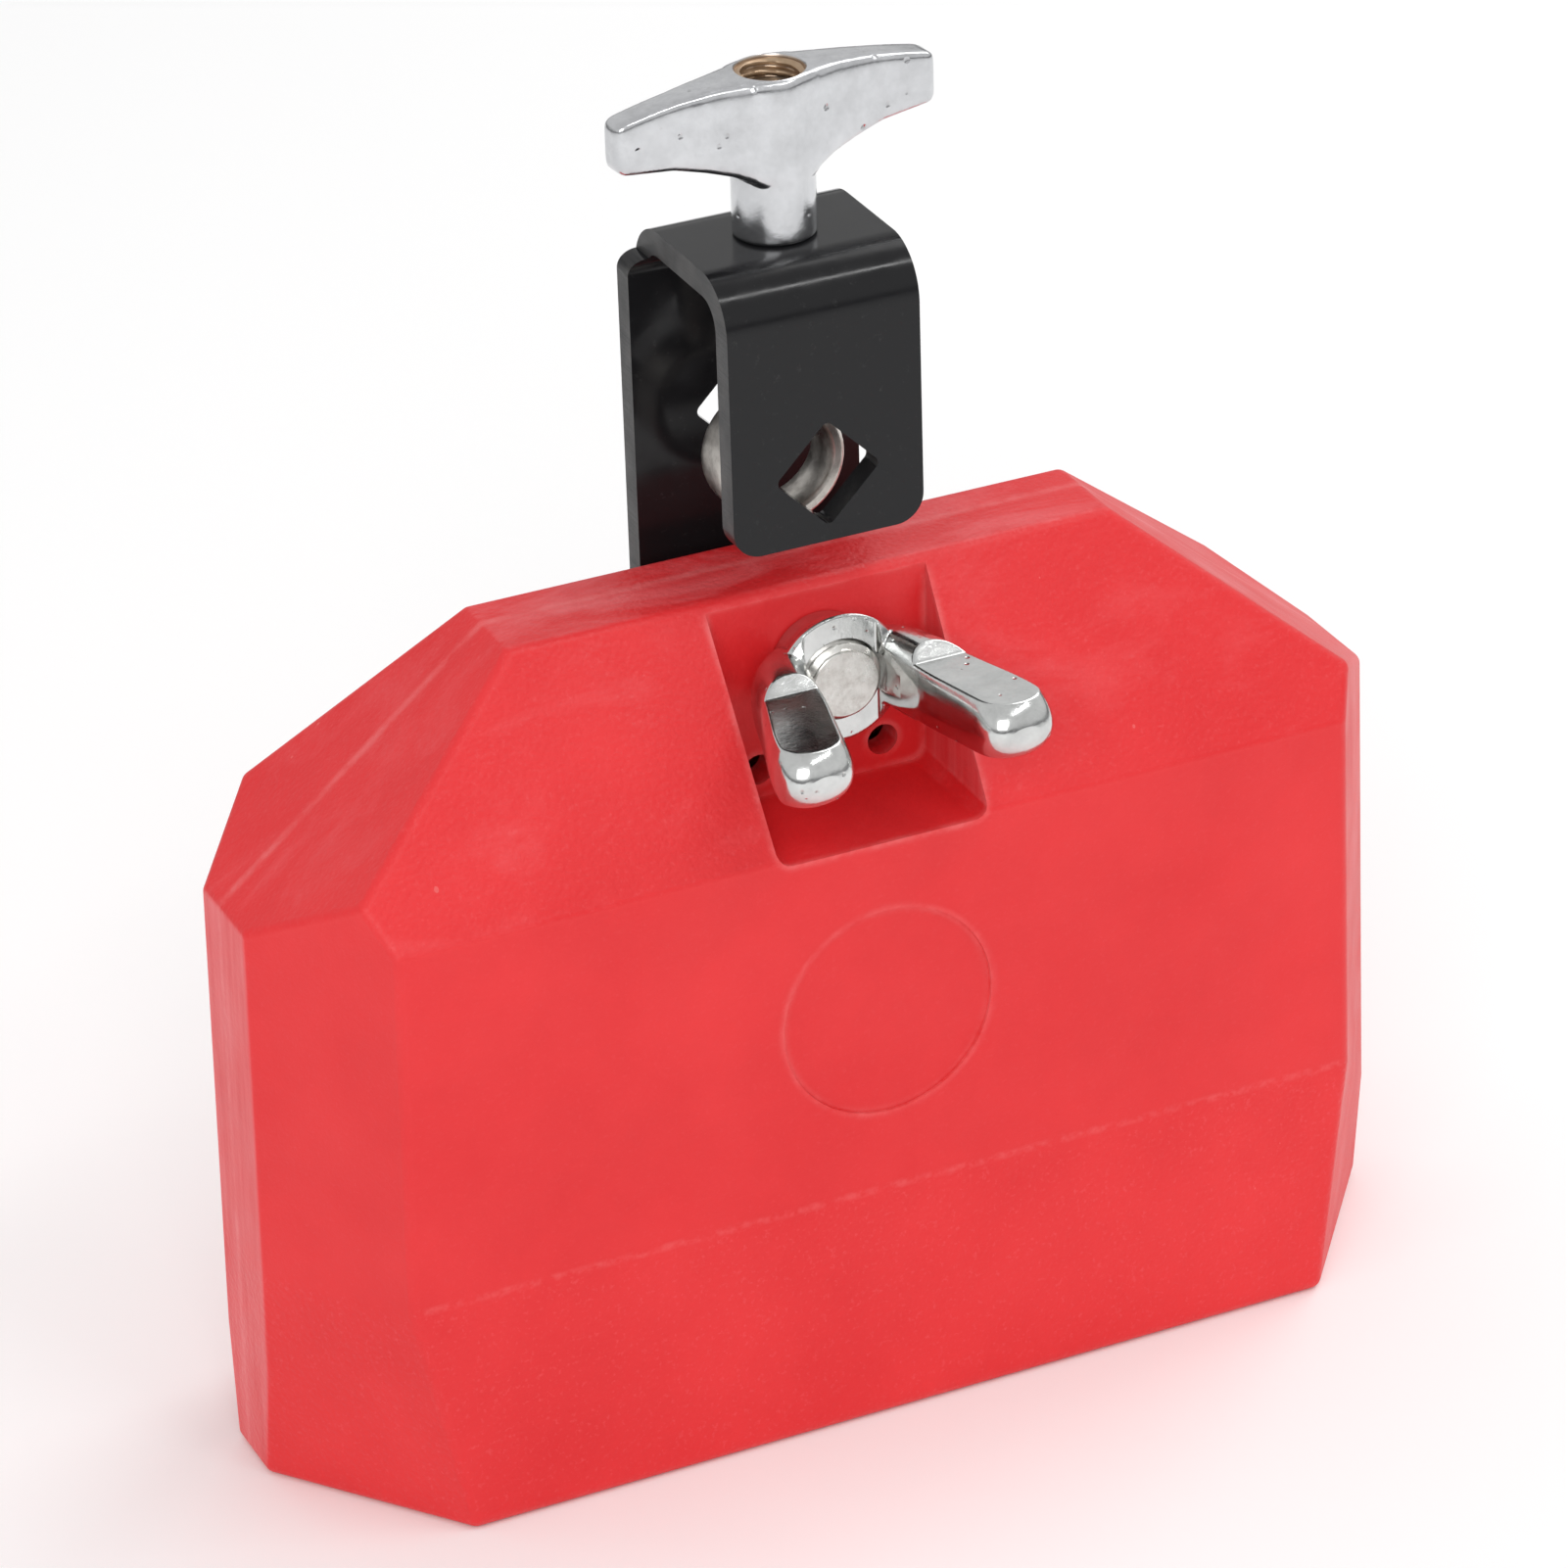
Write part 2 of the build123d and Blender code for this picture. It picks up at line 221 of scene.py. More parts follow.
class Nodes:
    """Short hand for building a material's node tree."""

    def __init__(self, name):
        self.material = bpy.data.materials.new(name)
        self.material.use_nodes = True
        self.tree = self.material.node_tree
        self.shader = self.tree.nodes["Principled BSDF"]
        self.coord = self.tree.nodes.new("ShaderNodeTexCoord").outputs["Object"]

    def node(self, kind, inputs=None, **settings):
        made = self.tree.nodes.new(kind)
        for key, value in settings.items():
            setattr(made, key, value)
        for key, value in (inputs or {}).items():
            self.feed(made.inputs[key], value)
        return made

    def feed(self, socket, value):
        if isinstance(value, bpy.types.NodeSocket):
            self.tree.links.new(value, socket)
        else:
            socket.default_value = value

    def set(self, **values):
        for key, value in values.items():
            self.feed(self.shader.inputs[key.replace("_", " ")], value)

    def math(self, operation, a, b=0.0, clamp=False):
        made = self.node("ShaderNodeMath", {0: a, 1: b}, operation=operation)
        made.use_clamp = clamp
        return made.outputs[0]

    def times(self, a, b):
        return self.math("MULTIPLY", a, b)

    def plus(self, a, b, clamp=False):
        return self.math("ADD", a, b, clamp)

    def noise(self, scale, detail=4.0, rough=0.5, vector=None, distortion=0.0):
        made = self.node("ShaderNodeTexNoise", {
            "Vector": vector or self.coord,
            "Scale": scale,
            "Detail": detail,
            "Roughness": rough,
            "Distortion": distortion,
        })
        return made.outputs["Fac"]

    def cells(self, scale, feature="F1", vector=None):
        """Distance to the nearest of many scattered points."""
        inputs = {"Vector": vector or self.coord, "Scale": scale}
        made = self.node("ShaderNodeTexVoronoi", inputs, feature=feature)
        return made.outputs["Distance"]

    def ramp(self, value, low, high, out_low=0.0, out_high=1.0):
        made = self.node("ShaderNodeMapRange", {
            "Value": value,
            "From Min": low,
            "From Max": high,
            "To Min": out_low,
            "To Max": out_high,
        })
        return made.outputs["Result"]

    def mix(self, share, a, b):
        made = self.node("ShaderNodeMix", {0: share, 6: a, 7: b}, data_type="RGBA")
        return made.outputs[2]

    def scaled(self, x, y, z):
        made = self.node("ShaderNodeMapping", {"Vector": self.coord, "Scale": (x, y, z)})
        return made.outputs["Vector"]

    def axes(self):
        made = self.node("ShaderNodeSeparateXYZ", {0: self.coord})
        return made.outputs

    def bevel(self, radius_mm):
        made = self.node("ShaderNodeBevel", {"Radius": radius_mm * MM}, samples=6)
        return made.outputs[0]

    def bump(self, height, strength, distance_mm, normal=None):
        inputs = {"Height": height, "Strength": strength, "Distance": distance_mm * MM}
        if normal is not None:
            inputs["Normal"] = normal
        return self.node("ShaderNodeBump", inputs).outputs[0]

    def edges(self, radius_mm):
        """1 on convex or concave creases, 0 on open faces."""
        geometry = self.node("ShaderNodeNewGeometry").outputs["Normal"]
        made = self.node("ShaderNodeVectorMath", {
            0: self.bevel(radius_mm), 1: geometry,
        }, operation="DOT_PRODUCT")
        return self.math("SUBTRACT", 1.0, made.outputs["Value"], clamp=True)


def rgb(r, g, b):
    return (r, g, b, 1.0)


def block_plastic():
    """Moulded red plastic: leather grain, painted sheen and crease highlight, nicks, worn creases.
    """
    m = Nodes("block_plastic")
    axes = m.axes()
    facing = m.node("ShaderNodeSeparateXYZ", {
        0: m.node("ShaderNodeNewGeometry").outputs["Normal"],
    }).outputs
    base, deep = rgb(0.80, 0.026, 0.03), rgb(0.70, 0.014, 0.018)
    pale, scraped, chafe_and_highlight_pale = rgb(0.86, 0.15, 0.16), rgb(0.93, 0.36, 0.34), rgb(0.88, 0.22, 0.22)
    blotch = m.noise(30.0, 5.0, 0.6)
    colour = m.mix(m.ramp(blotch, 0.3, 0.72), deep, base)
    end_face = m.ramp(m.math("ABSOLUTE", facing["X"]), 0.9, 0.97)
    top_face = m.times(m.ramp(facing["Z"], 0.9, 0.98), m.ramp(axes["Z"], 0.1, 0.103))
    slope = m.times(m.ramp(facing["Z"], 0.12, 0.3), m.ramp(facing["Z"], 0.99, 0.97))
    # painted sheen: the top, ends and slopes paled in smears and streaks
    smear = m.noise(70.0, 6.0, 0.7, m.scaled(0.6, 1.4, 1.0), 0.6)
    painted_sheen = m.times(m.ramp(smear, 0.42, 0.68), m.times(top_face, 0.8))
    streaks = m.noise(500.0, 3.0, 0.7, m.scaled(1, 1, 0.06))
    painted_sheen = m.plus(painted_sheen, m.times(end_face, m.ramp(streaks, 0.3, 0.7, 0.15, 0.7)))
    painted_sheen = m.plus(painted_sheen, m.times(slope, m.ramp(smear, 0.5, 0.75, 0.0, 0.3)), clamp=True)
    colour = m.mix(painted_sheen, colour, pale)
    # short pale nicks, most of them on the slopes
    spots = m.cells(210.0, vector=m.scaled(1.0, 1.0, 0.55))
    limit = m.ramp(m.noise(26.0, 3.0, 0.6), 0.52, 0.78, 0.0, 0.15)
    limit = m.times(limit, m.plus(slope, 0.25))
    nick = m.math("LESS_THAN", spots, limit)
    colour = m.mix(m.times(nick, 0.22), colour, scraped)
    # creases rub pale; a dotted painted highlight runs where plain skin meets grained skin
    grit = m.noise(420.0, 3.0, 0.7)
    worn = m.ramp(m.noise(190.0, 4.0, 0.7), 0.3, 0.65)
    worn = m.times(m.ramp(m.edges(1.8), 0.015, 0.10), worn)
    off_line = m.math("ABSOLUTE", m.math("SUBTRACT", axes["Z"], LOWER_CREASE_Z * MM))
    painted_crease_highlight = m.math("SUBTRACT", 1.0, m.ramp(off_line, 0.0002, 0.0007))
    painted_crease_highlight = m.times(painted_crease_highlight, m.ramp(grit, 0.42, 0.62))
    front = m.ramp(facing["Y"], -0.9, -0.97)
    painted_crease_highlight = m.times(m.times(painted_crease_highlight, front), 0.2)
    # pale crease wear and the painted crease highlight share one tone
    wear_and_highlight = m.math("MAXIMUM", m.times(worn, 0.6), painted_crease_highlight)
    colour = m.mix(wear_and_highlight, colour, chafe_and_highlight_pale)
    # fine leather grain, coarse below the lower crease and on the top
    coarse = m.ramp(axes["Z"], 0.0295, 0.0312, 1.0, 0.3)
    coarse = m.math("MAXIMUM", coarse, m.times(top_face, 0.9))
    coarse = m.math("MAXIMUM", coarse, m.times(slope, 0.75))
    grain = m.cells(1500.0, "SMOOTH_F1")
    fine = m.noise(3200.0, 3.0, 0.6)
    height = m.plus(m.times(grain, coarse), m.times(fine, 0.45))
    speck = m.times(m.ramp(m.noise(1700.0, 2.0, 0.6), 0.58, 0.75), coarse)
    colour = m.mix(m.times(speck, 0.22), colour, pale)
    normal = m.bump(height, 0.55, 0.16)
    normal = m.bump(m.noise(60.0, 3.0, 0.55), 0.3, 1.1, normal)
    m.set(
        Base_Color=colour,
        Roughness=m.ramp(m.noise(90.0, 4.0), 0.3, 0.7, 0.38, 0.5),
        Normal=normal,
        IOR=1.46,
    )
    return m.material


def black_enamel():
    """Glossy black over sheared steel: dusty, worn and rougher on the cut edges."""
    m = Nodes("black_enamel")
    geometry = m.node("ShaderNodeNewGeometry").outputs["True Normal"]
    facing = m.node("ShaderNodeSeparateXYZ", {0: geometry}).outputs["X"]
    cut = m.ramp(m.math("ABSOLUTE", facing), 0.75, 0.9)
    dust = m.ramp(m.noise(900.0, 3.0, 0.8), 0.62, 0.8, 0.0, 0.5)
    colour = m.mix(dust, rgb(0.011, 0.011, 0.012), rgb(0.045, 0.045, 0.045))
    worn = m.times(cut, m.ramp(m.noise(260.0, 3.0), 0.4, 0.7))
    colour = m.mix(m.times(worn, 0.45), colour, rgb(0.07, 0.068, 0.065))
    orange_peel = m.noise(420.0, 2.0, 0.5)
    shear = m.noise(55.0, 5.0, 0.8, m.scaled(1.0, 1.0, 22.0))
    height = m.plus(m.times(orange_peel, 0.14), m.times(shear, cut))
    gloss = m.ramp(m.noise(300.0, 3.0), 0.3, 0.7, 0.1, 0.2)
    m.set(
        Base_Color=colour,
        Roughness=m.plus(gloss, m.times(cut, 0.2)),
        Normal=m.bump(height, 0.4, 0.2),
        IOR=1.33,
    )
    return m.material


def chrome(name, tint, rough, pit_scale, pit_depth, inner=None):
    """Plated casting: soft waves, small pits, cloudy polish."""
    m = Nodes(name)
    cloud = m.noise(240.0, 6.0, 0.75)
    colour = m.mix(m.ramp(cloud, 0.32, 0.66), rgb(*(c * 0.8 for c in tint)), rgb(*tint))
    rare = m.math("GREATER_THAN", m.noise(pit_scale * 0.5, 1.0), 0.56)
    pit = m.times(m.ramp(m.cells(pit_scale), 0.06, 0.2, 1.0, 0.0), rare)
    colour = m.mix(m.times(pit, 0.4), colour, rgb(0.2, 0.2, 0.2))
    roughness = m.ramp(m.noise(380.0, 3.0), 0.3, 0.7, rough * 0.75, rough * 1.3)
    if inner is not None:
        colour, roughness = inner(m, colour, roughness)
    waves = m.noise(130.0, 2.0, 0.4)
    normal = m.bump(waves, 0.35, 0.35)
    normal = m.bump(pit, 0.8, -pit_depth, normal)
    normal = m.bump(m.noise(1500.0, 3.0, 0.7), 0.16, 0.1, normal)
    m.set(Base_Color=colour, Metallic=1.0, Roughness=roughness, Normal=normal)
    return m.material


def brass_bore(m, colour, roughness):
    """Unplated brass shows in the threaded hole."""
    axes = m.axes()
    squares = m.plus(m.math("POWER", axes["X"], 2.0), m.math("POWER", axes["Y"], 2.0))
    inside = m.ramp(m.math("SQRT", squares), 0.00405, 0.00425, 1.0, 0.0)
    tone = m.mix(m.noise(700.0, 3.0), rgb(0.34, 0.21, 0.12), rgb(0.62, 0.48, 0.34))
    return m.mix(inside, colour, tone), m.plus(roughness, m.times(inside, 0.18))


def plain_metal(name, tint, dark, rough):
    """Satin plating with darker speckles."""
    m = Nodes(name)
    blot = m.noise(700.0, 4.0, 0.7)
    colour = m.mix(m.ramp(blot, 0.42, 0.72), rgb(*tint), rgb(*dark))
    m.set(
        Base_Color=colour,
        Metallic=1.0,
        Roughness=m.ramp(m.noise(500.0, 3.0), 0.3, 0.7, rough * 0.8, rough * 1.25),
        Normal=m.bump(m.noise(1500.0, 3.0, 0.6), 0.3, 0.06),
    )
    return m.material


# -------------------------------------------------------------------- pieces
HANDLE_YAW = math.radians(4.0)
HANDLE_HALF, HANDLE_TIP = 21.3, 20.0
HANDLE_SAG = 2.3
STEM_RADIUS, STEM_TOP = 5.05, 158.0
HANDLE_BORE, RIDGE_RADIUS, SLEEVE_RADIUS = 4.1, 3.5, 4.3
HANDLE_WIDTHS = [
    (0, 5.2), (0.8, 5.1), (2.8, 4.55), (4.6, 3.95), (7.7, 3.15), (13, 2.35), (20, 2.05),
    (20.6, 1.95), (21.0, 1.6), (21.3, 1.0),
]
HANDLE_UNDER = [
    (0, 154.2), (2.6, 154.9), (4.6, 156.0), (6.5, 157.0), (10, 158.2), (14, 159.3), (20, 160.0),
    (20.6, 160.15), (21.0, 160.6), (21.3, 161.3),
]
HANDLE_DROP = [(0, 0.0), (20.0, 2.2), (20.6, 2.35), (21.0, 2.7), (21.3, 3.3)]


def build_handle():
    """Cast T-handle: bowed arms on a round stem, with a threaded bore."""
    rings = []
    half_stations = list(np.linspace(0, 20.4, 42)) + [20.8, 21.0, 21.2, HANDLE_HALF]
    for u in sorted({side * u for u in half_stations for side in (-1, 1)}):
        a = abs(u)
        sag = HANDLE_SAG * (a / 20.7) ** 2 if a < HANDLE_TIP else interp(HANDLE_DROP, a)
        top = HANDLE_TOP - sag
        low = interp(HANDLE_UNDER, a)
        half = interp(HANDLE_WIDTHS, a)
        power = 7.0 if a > 4 else 9.0
        ring = []
        for p, q in squircle(half, (top - low) / 2, power, 56):
            x = u * math.cos(HANDLE_YAW) - p * math.sin(HANDLE_YAW)
            y = u * math.sin(HANDLE_YAW) + p * math.cos(HANDLE_YAW)
            ring.append((x, y, (top + low) / 2 + q))
        rings.append(ring)
    arms = loft("arms", rings)
    foot = BRACKET_TOP
    stem = lathe("stem", [
        (foot, STEM_RADIUS - 0.3), (foot + 0.3, STEM_RADIUS), (STEM_TOP, STEM_RADIUS),
    ], up())
    handle = fuse("t_handle_casting", [arms, stem], 0.2, 5)
    bore = lathe("bore", [
        (foot - 1, HANDLE_BORE), (HANDLE_TOP - 0.35, HANDLE_BORE),
        (HANDLE_TOP + 1.0, HANDLE_BORE + 1.1),
    ], up())
    flat = make_box("flat", (-30, -30, foot - 4), (30, 30, foot + 0.005))
    boolean(handle, flat, "DIFFERENCE")
    boolean(handle, bore, "DIFFERENCE")
    # cut threads stand in the bore as a thin sleeve of ridges
    sleeve = lathe("sleeve", [
        (foot + 0.6, SLEEVE_RADIUS), (HANDLE_TOP - 0.6, SLEEVE_RADIUS),
    ], up())
    tap = thread(
        "tap", HANDLE_BORE, RIDGE_RADIUS, M8_PITCH, foot - 2, HANDLE_TOP + 2, up(),
    )
    boolean(sleeve, tap, "DIFFERENCE")
    boolean(handle, sleeve, "UNION")
    return shade(handle, 40)


def prism(name, near, far):
    """Closed solid between two matching outlines."""
    count = len(near)
    faces = [tuple(range(count)), tuple(range(count, 2 * count))]
    faces += [(k, (k + 1) % count, count + (k + 1) % count, count + k) for k in range(count)]
    return make_object(name, list(near) + list(far), faces)


def make_box(name, low, high):
    (x0, y0, z0), (x1, y1, z1) = low, high
    verts = [(x, y, z) for z in (z0, z1) for y in (y0, y1) for x in (x0, x1)]
    faces = [(0, 1, 3, 2), (4, 5, 7, 6), (0, 1, 5, 4), (2, 3, 7, 6), (0, 2, 6, 4), (1, 3, 7, 5)]
    return make_object(name, verts, faces)


EYE_RADIUS = 8.15
EYE_Z = EYE_LOW.z + EYE_RADIUS
EYE_X = -1.2
EYE_PROFILE = [
    (-3.2, 7.75), (-2.85, 8.1), (-2.0, EYE_RADIUS), (2.0, EYE_RADIUS), (2.85, 8.1), (3.2, 7.75),
]
EYE_BORE = [
    (-4.0, 7.4), (-3.2, 6.75), (-2.6, 6.38), (0, 6.35), (2.6, 6.38), (3.2, 6.75), (4.0, 7.4),
]
EYE_SHANK, EYE_ROOT = 3.98, 3.36


def build_eye_bolt():
    """Forged ring on a necked, threaded shank."""
    ring = lathe("ring", EYE_PROFILE, along_y(EYE_X, EYE_Z))
    neck = lathe("neck", [
        (EYE_Z + 6.6, 3.0), (EYE_Z + 7.6, 3.15), (EYE_Z + 8.8, 3.45), (EYE_Z + 10.6, 3.6),
    ], up())
    eye = fuse("eye_bolt_forging", [ring, neck], 0.2, 4)
    boolean(eye, lathe("bore", EYE_BORE, along_y(EYE_X, EYE_Z)), "DIFFERENCE")
    shank = thread(
        "shank", EYE_SHANK, EYE_ROOT, M8_PITCH, EYE_Z + 9.4, EYE_HIGH.z, up(),
        bevel=(0.5, 0.6),
    )
    boolean(eye, shank, "UNION")
    return shade(eye, 38)


WING_PATH = [
    # along the bolt, sideways centre, half width, half height, corner power
    (9.6, 5.2, 1.6, 3.2, 2.2), (11.5, 6.3, 2.8, 4.2, 2.2), (14.0, 7.5, 3.8, 4.9, 2.3),
    (17.0, 8.45, 4.1, 5.1, 2.4), (21.0, 9.5, 4.25, 5.2, 2.5), (25.0, 10.5, 4.5, 5.3, 2.5),
    (30.0, 11.95, 4.75, 5.3, 2.5), (33.5, 12.8, 4.85, 5.15, 2.4), (35.0, 12.95, 4.75, 4.6, 2.3),
    (36.3, 13.0, 4.45, 3.75, 2.2), (37.3, 13.0, 3.9, 2.95, 2.1), (38.0, 13.0, 3.0, 2.05, 2.0),
    (38.4, 13.0, 1.8, 1.1, 2.0),
]
HUB_PROFILE = [
    (8.62, 6.2), (8.9, 6.4), (9.6, 6.5), (11.0, 6.7), (12.2, 7.1), (13.2, 7.7), (14.0, 8.2),
    (14.6, 8.4), (15.2, 8.1), (15.9, 7.0), (16.3, 5.8),
]
NUT_BORE, NUT_MOUTH = 5.08, 5.55
CHANNEL_HALF, CHANNEL_LEAN = 4.9, 2.5
CHANNEL_FLOOR = 14.9
CHANNEL_LENGTH = 25
FLAT_HALF = 3.6
PRESS_OUTLINE = [(22.0, FLAT_HALF), (44.0, FLAT_HALF), (44.0, 9.5), (16.0, 9.5), (20.1, 5.1)]


def smooth_rows(rows, per_gap=4):
    """Catmull-Rom through rows of numbers."""
    pts = [np.array(r, float) for r in rows]
    pts = [2 * pts[0] - pts[1]] + pts + [2 * pts[-1] - pts[-2]]
    out = []
    for i in range(1, len(pts) - 2):
        p0, p1, p2, p3 = pts[i - 1:i + 3]
        for k in range(per_gap):
            t = k / per_gap
            out.append(0.5 * (
                2 * p1 + (p2 - p0) * t + (2 * p0 - 5 * p1 + 4 * p2 - p3) * t ** 2
                + (3 * p1 - p0 - 3 * p2 + p3) * t ** 3
            ))
    out.append(pts[-2])
    return out


def build_wing(side):
    """One wing of the nut, leaning outward to a domed end."""
    rings = []
    for a, mid, half, high, power in smooth_rows(WING_PATH):
        rings.append([
            (side * (mid + p), -a, BOLT_Z + q)
            for p, q in squircle(max(half, 0.3), max(high, 0.3), power, 48)
        ])
    return loft("wing", rings)


def build_wing_nut():
    """Cast wing nut: hub, slotted nose, two wings with pressed flats."""
    nut = lathe("hub", [(-a, r) for a, r in HUB_PROFILE], along_y(0, BOLT_Z))
    for side in (-1, 1):
        boolean(nut, build_wing(side), "UNION")
    # the slot between the wings, its walls leaning outward
    wall, far = CHANNEL_HALF + CHANNEL_LEAN, -CHANNEL_FLOOR - CHANNEL_LENGTH
    slot = [
        (-CHANNEL_HALF, -CHANNEL_FLOOR), (CHANNEL_HALF, -CHANNEL_FLOOR), (wall, far), (-wall, far),
    ]
    ends = [[(x, y, BOLT_Z + z) for x, y in slot] for z in (-15, 15)]
    boolean(nut, prism("slot", *ends), "DIFFERENCE")
    # pressed flats above and below each wing, running out towards the hub
    for side in (-1, 1):
        for turn in (-1, 1):
            ends = [
                [(side * x, -a, BOLT_Z + turn * h) for a, h in PRESS_OUTLINE]
                for x in (5.0, 26.0)
            ]
            boolean(nut, prism("press", *ends), "DIFFERENCE")
    nut = fuse("wing_nut_casting", [nut], 0.17, 2)
    back = make_box("back", (-20, NUT_SEAT - 0.005, BOLT_Z - 20), (20, 0, BOLT_Z + 20))
    boolean(nut, back, "DIFFERENCE")
    bore = lathe("bore", [
        (-20.0, 5.6), (-15.3, NUT_MOUTH), (-14.4, NUT_BORE), (0.0, NUT_BORE),
    ], along_y(0, BOLT_Z))
    boolean(nut, bore, "DIFFERENCE")
    return shade(nut, 28)


BOLT_RADIUS, BOLT_ROOT, NECK_HALF = 4.97, 4.25, 4.98
STRAP = 3.2
DOME_STEPS = 14


def build_mounting_bolt():
    """Coach bolt: domed head on the strap, square neck through it, threaded shank."""
    shank = thread(
        "coach_bolt", BOLT_RADIUS, BOLT_ROOT, M10_PITCH, BOLT_LOW.y, BRACKET_BACK - STRAP + 0.4,
        along_y(0, BOLT_Z), bevel=(0.75, 0.0), segments=80,
    )
    neck = make_box(
        "neck", (-NECK_HALF, BRACKET_BACK - STRAP, BOLT_Z - NECK_HALF),
        (NECK_HALF, BRACKET_BACK + 0.3, BOLT_Z + NECK_HALF),
    )
    rim, rise = (BOLT_HIGH.x - BOLT_LOW.x) / 2, BOLT_HIGH.y - BRACKET_BACK
    dome = (rim * rim + rise * rise) / (2 * rise)
    profile = [(BRACKET_BACK, rim - 0.5), (BRACKET_BACK + 0.35, rim)]
    for k in range(1, DOME_STEPS):
        r = rim * math.cos(math.pi / 2 * k / DOME_STEPS)
        station = BRACKET_BACK + rise - dome + math.sqrt(dome * dome - r * r)
        # the first steps stay clear of the rim's chamfer
        profile.append((max(station, BRACKET_BACK + 0.49 + 0.01 * k), r))
    head = lathe("head", profile, along_y(0, BOLT_Z))
    boolean(head, neck, "UNION")
    boolean(shank, head, "UNION")
    return shade(shank, 30)


def crease_group(angle):
    """Node group: smooth faces, with edges sharper than the angle kept crisp."""
    group = bpy.data.node_groups.new("crease", "GeometryNodeTree")
    group.interface.new_socket("Geometry", in_out="INPUT", socket_type="NodeSocketGeometry")
    group.interface.new_socket("Geometry", in_out="OUTPUT", socket_type="NodeSocketGeometry")
    nodes, link = group.nodes, group.links.new
    start, end = nodes.new("NodeGroupInput"), nodes.new("NodeGroupOutput")
    faces = nodes.new("GeometryNodeSetShadeSmooth")
    edges = nodes.new("GeometryNodeSetShadeSmooth")
    edges.domain = "EDGE"
    bend = nodes.new("GeometryNodeInputMeshEdgeAngle")
    soft = nodes.new("FunctionNodeCompare")
    soft.operation = "LESS_THAN"
    soft.inputs[1].default_value = math.radians(angle)
    link(bend.outputs["Unsigned Angle"], soft.inputs[0])
    link(soft.outputs["Result"], edges.inputs["Shade Smooth"])
    link(start.outputs[0], faces.inputs["Geometry"])
    link(faces.outputs[0], edges.inputs["Geometry"])
    link(edges.outputs[0], end.inputs[0])
    return group


def paint(obj, slot):
    """Give a piece the material made for one of the record's slots."""
    obj.data.materials.clear()
    obj.data.materials.append(FINISHES[slot])


def dress(node, slot, rounding_mm=0.0, angle=30.0):
    """Give a CAD solid its finish: welded seams, softened edges, flat faces kept flat."""
    obj = NODES[node]
    paint(obj, slot)
    weld = obj.modifiers.new("weld", "WELD")
    weld.merge_threshold = 1e-6
    if rounding_mm:
        bevel = obj.modifiers.new("bevel", "BEVEL")
        bevel.width = rounding_mm * MM
        bevel.segments = 3
        bevel.limit_method = "ANGLE"
        bevel.angle_limit = math.radians(40)
    crease = obj.modifiers.new("crease", "NODES")
    crease.node_group = crease_group(angle)
    flat = obj.modifiers.new("flat", "WEIGHTED_NORMAL")
    flat.keep_sharp = True
    return obj


FINISHES = {
    "block_plastic": block_plastic(),
    "black_enamel": black_enamel(),
    "handle_chrome": chrome("handle_chrome", (0.66, 0.668, 0.685), 0.2, 420.0, 0.2, brass_bore),
    "wing_nut_plating": chrome("wing_nut_plating", (0.70, 0.71, 0.70), 0.16, 620.0, 0.15),
    "eye_bolt_nickel": plain_metal("eye_bolt_nickel", (0.62, 0.59, 0.55), (0.40, 0.37, 0.34), 0.34),
    "bolt_steel": plain_metal("bolt_steel", (0.66, 0.65, 0.62), (0.48, 0.46, 0.43), 0.3),
}

for node in ("front_shell", "rear_shell"):
    dress(node, "block_plastic")
dress("clamp_bracket", "black_enamel", 0.35)

for build, node, body, slot in (
    (build_handle, "t_handle", "t_handle", "handle_chrome"),
    (build_eye_bolt, "eye_bolt", "eye_bolt", "eye_bolt_nickel"),
    (build_wing_nut, "wing_nut", "wing_nut", "wing_nut_plating"),
    (build_mounting_bolt, "mounting_bolt", "clamp", "bolt_steel"),
):
    piece = build()
    paint(piece, slot)
    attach(piece, body)
    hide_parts(node)


# --------------------------------------------------------------------- stage
FLOOR_HALF = 6


def build_stage():
    """A wide, plain white floor."""
    mesh = bpy.data.meshes.new("floor")
    sides = ((-1, -1), (1, -1), (1, 1), (-1, 1))
    mesh.from_pydata([(FLOOR_HALF * x, FLOOR_HALF * y, 0) for x, y in sides], [], [(0, 1, 2, 3)])
    floor = bpy.data.objects.new("floor", mesh)
    bpy.context.scene.collection.objects.link(floor)
    pale = bpy.data.materials.new("floor_pale")
    pale.use_nodes = True
    shader = pale.node_tree.nodes["Principled BSDF"]
    shader.inputs["Base Color"].default_value = rgb(1.0, 1.0, 1.0)
    shader.inputs["Roughness"].default_value = 0.9
    mesh.materials.append(pale)


def area_light(name, place, target, size, power):
    """A softbox at place, facing target; metres and watts."""
    data = bpy.data.lights.new(name, "AREA")
    data.shape = "RECTANGLE"
    data.size, data.size_y = size
    data.energy = power
    light = bpy.data.objects.new(name, data)
    light.location = place
    light.rotation_mode = "QUATERNION"
    light.rotation_quaternion = (Vector(target) - Vector(place)).to_track_quat("-Z", "Y")
    bpy.context.scene.collection.objects.link(light)


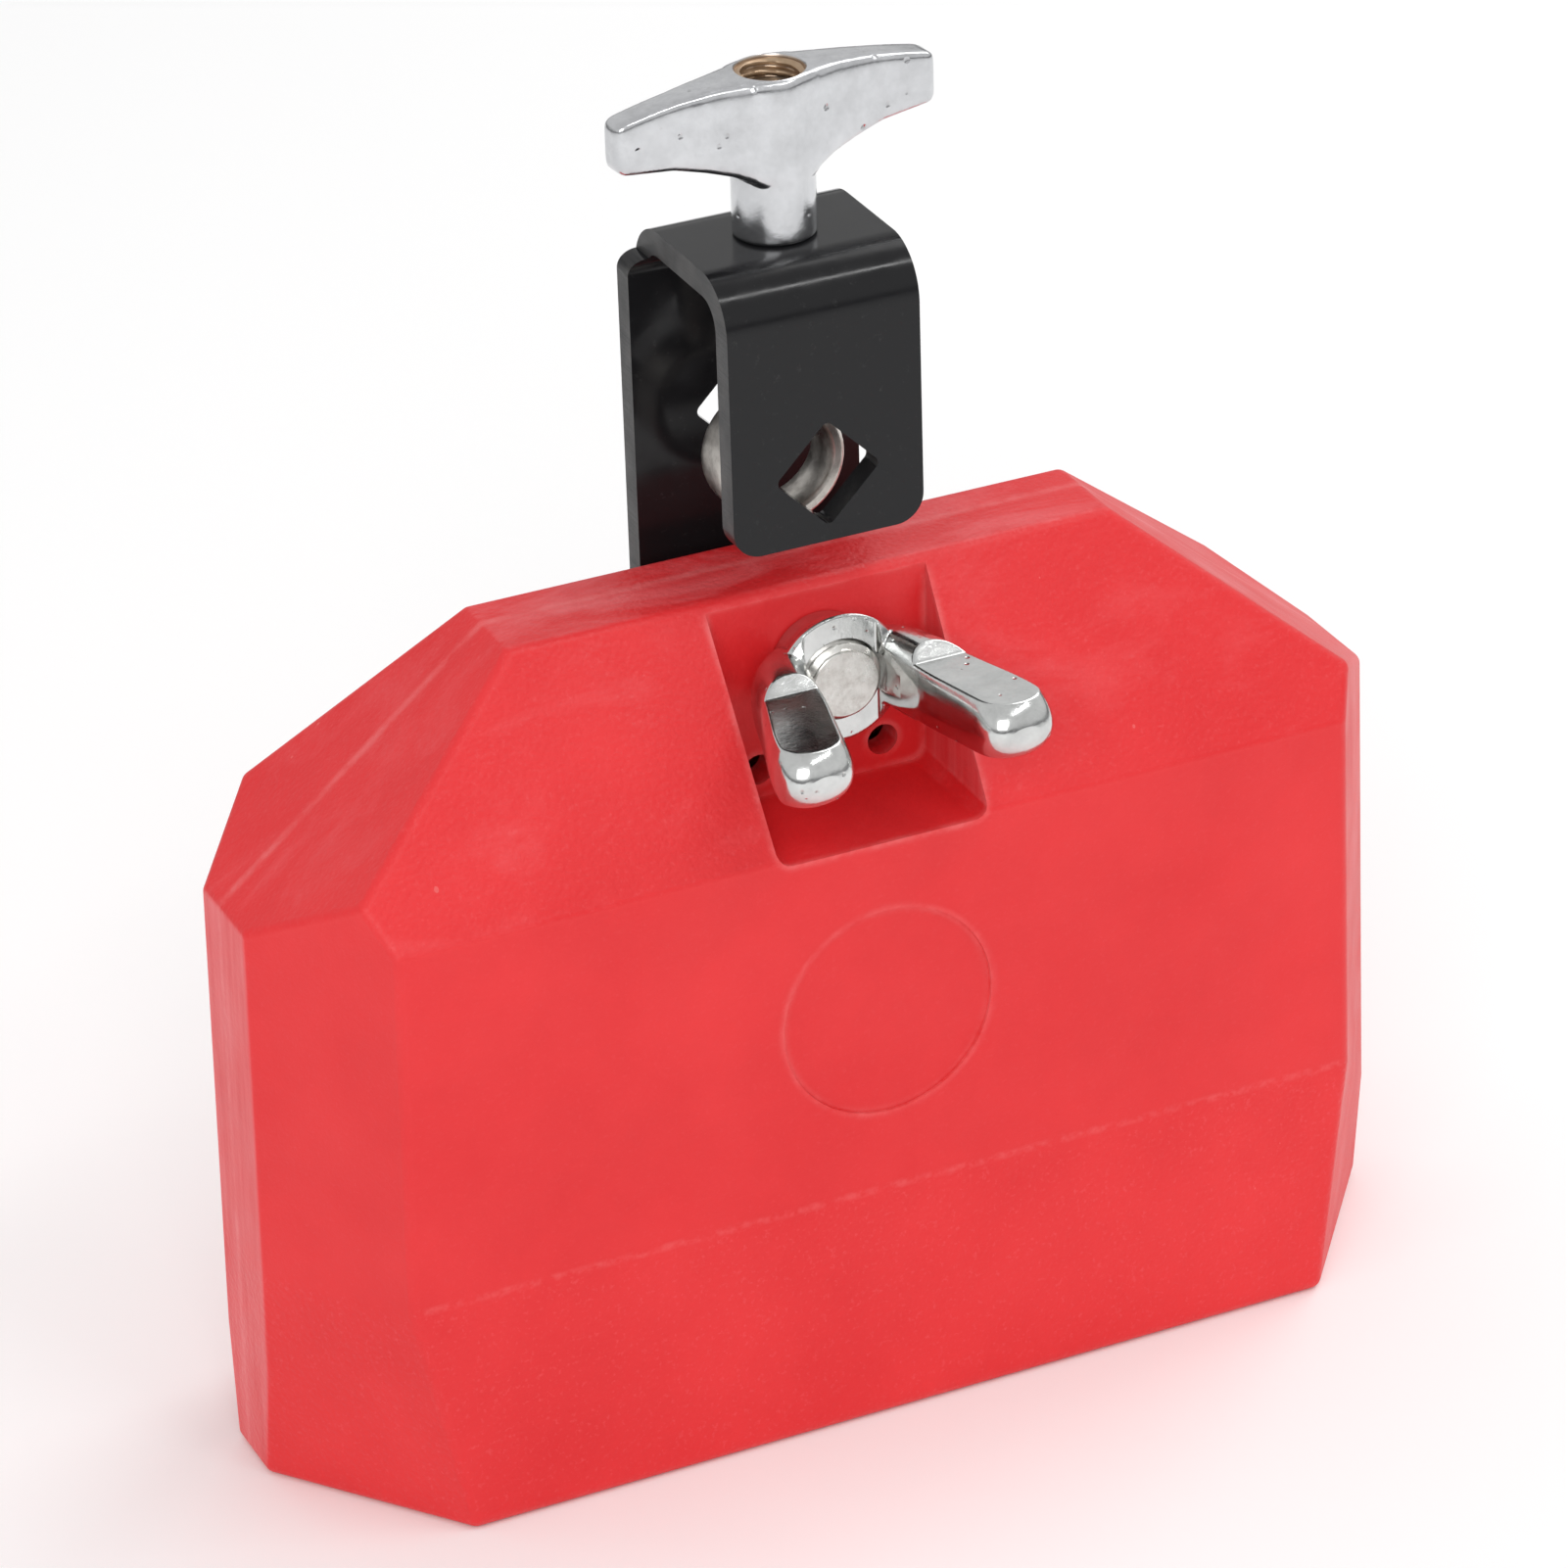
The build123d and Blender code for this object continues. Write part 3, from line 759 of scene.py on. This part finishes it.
def build_world():
    """Soft studio surround, dark only near the ground so chrome has contrast."""
    world = bpy.data.worlds.new("studio")
    bpy.context.scene.world = world
    world.use_nodes = True
    nodes, links = world.node_tree.nodes, world.node_tree.links
    coord = nodes.new("ShaderNodeTexCoord")
    split = nodes.new("ShaderNodeSeparateXYZ")
    ramp = nodes.new("ShaderNodeValToRGB")
    links.new(coord.outputs["Generated"], split.inputs[0])
    links.new(split.outputs["Z"], ramp.inputs["Fac"])
    ramp.color_ramp.elements[0].position = 0.0
    ramp.color_ramp.elements[0].color = rgb(0.16, 0.16, 0.17)
    ramp.color_ramp.elements[1].position = 1.0
    ramp.color_ramp.elements[1].color = rgb(0.7, 0.7, 0.7)
    for height, grey in ((0.08, 0.2), (0.18, 0.75), (0.45, 0.78), (0.7, 0.72)):
        ramp.color_ramp.elements.new(height).color = rgb(grey, grey, grey)
    background = nodes["Background"]
    links.new(ramp.outputs["Color"], background.inputs["Color"])
    background.inputs["Strength"].default_value = 0.97


CAMERA_TURN = (-24.364, 28.15, -1.851)      # azimuth, elevation and roll, degrees
CAMERA_TARGET = Vector((0, 0, 62.5))
CAMERA_DISTANCE = 844.29
CAMERA_SHIFT = (-1.348, 10.379)             # sideways and upward from the line of sight
SENSOR_WIDTH, LENS = 36.0, 157.4016


def build_camera():
    """A long lens, from the left of the front and well above."""
    azimuth, elevation, roll = (math.radians(v) for v in CAMERA_TURN)
    back = Vector((
        math.sin(azimuth) * math.cos(elevation),
        -math.cos(azimuth) * math.cos(elevation),
        math.sin(elevation),
    ))
    level = Vector((math.cos(azimuth), math.sin(azimuth), 0))
    right = level * math.cos(roll) + back.cross(level) * math.sin(roll)
    up_axis = back.cross(right)
    place = CAMERA_TARGET + back * CAMERA_DISTANCE
    place += right * CAMERA_SHIFT[0] + up_axis * CAMERA_SHIFT[1]
    data = bpy.data.cameras.new("camera")
    data.sensor_width = SENSOR_WIDTH
    data.lens = LENS
    data.clip_start, data.clip_end = 0.05, 20.0
    camera = bpy.data.objects.new("camera", data)
    turn = Matrix((right, up_axis, back)).transposed().to_4x4()
    camera.matrix_world = Matrix.Translation(place * MM) @ turn
    bpy.context.scene.collection.objects.link(camera)
    bpy.context.scene.camera = camera


build_stage()
build_world()
area_light("key", (-0.72, -1.2, 0.85), (0, 0, 0.08), (1.0, 0.8), 7.1)
area_light("rim", (0.75, 0.35, 0.95), (0, 0, 0.12), (0.5, 0.9), 3.0)
area_light("glint", (0.36, -0.45, 0.95), (0, 0, 0.14), (0.7, 0.05), 1.6)
build_camera()
bpy.context.scene.view_settings.view_transform = "Standard"
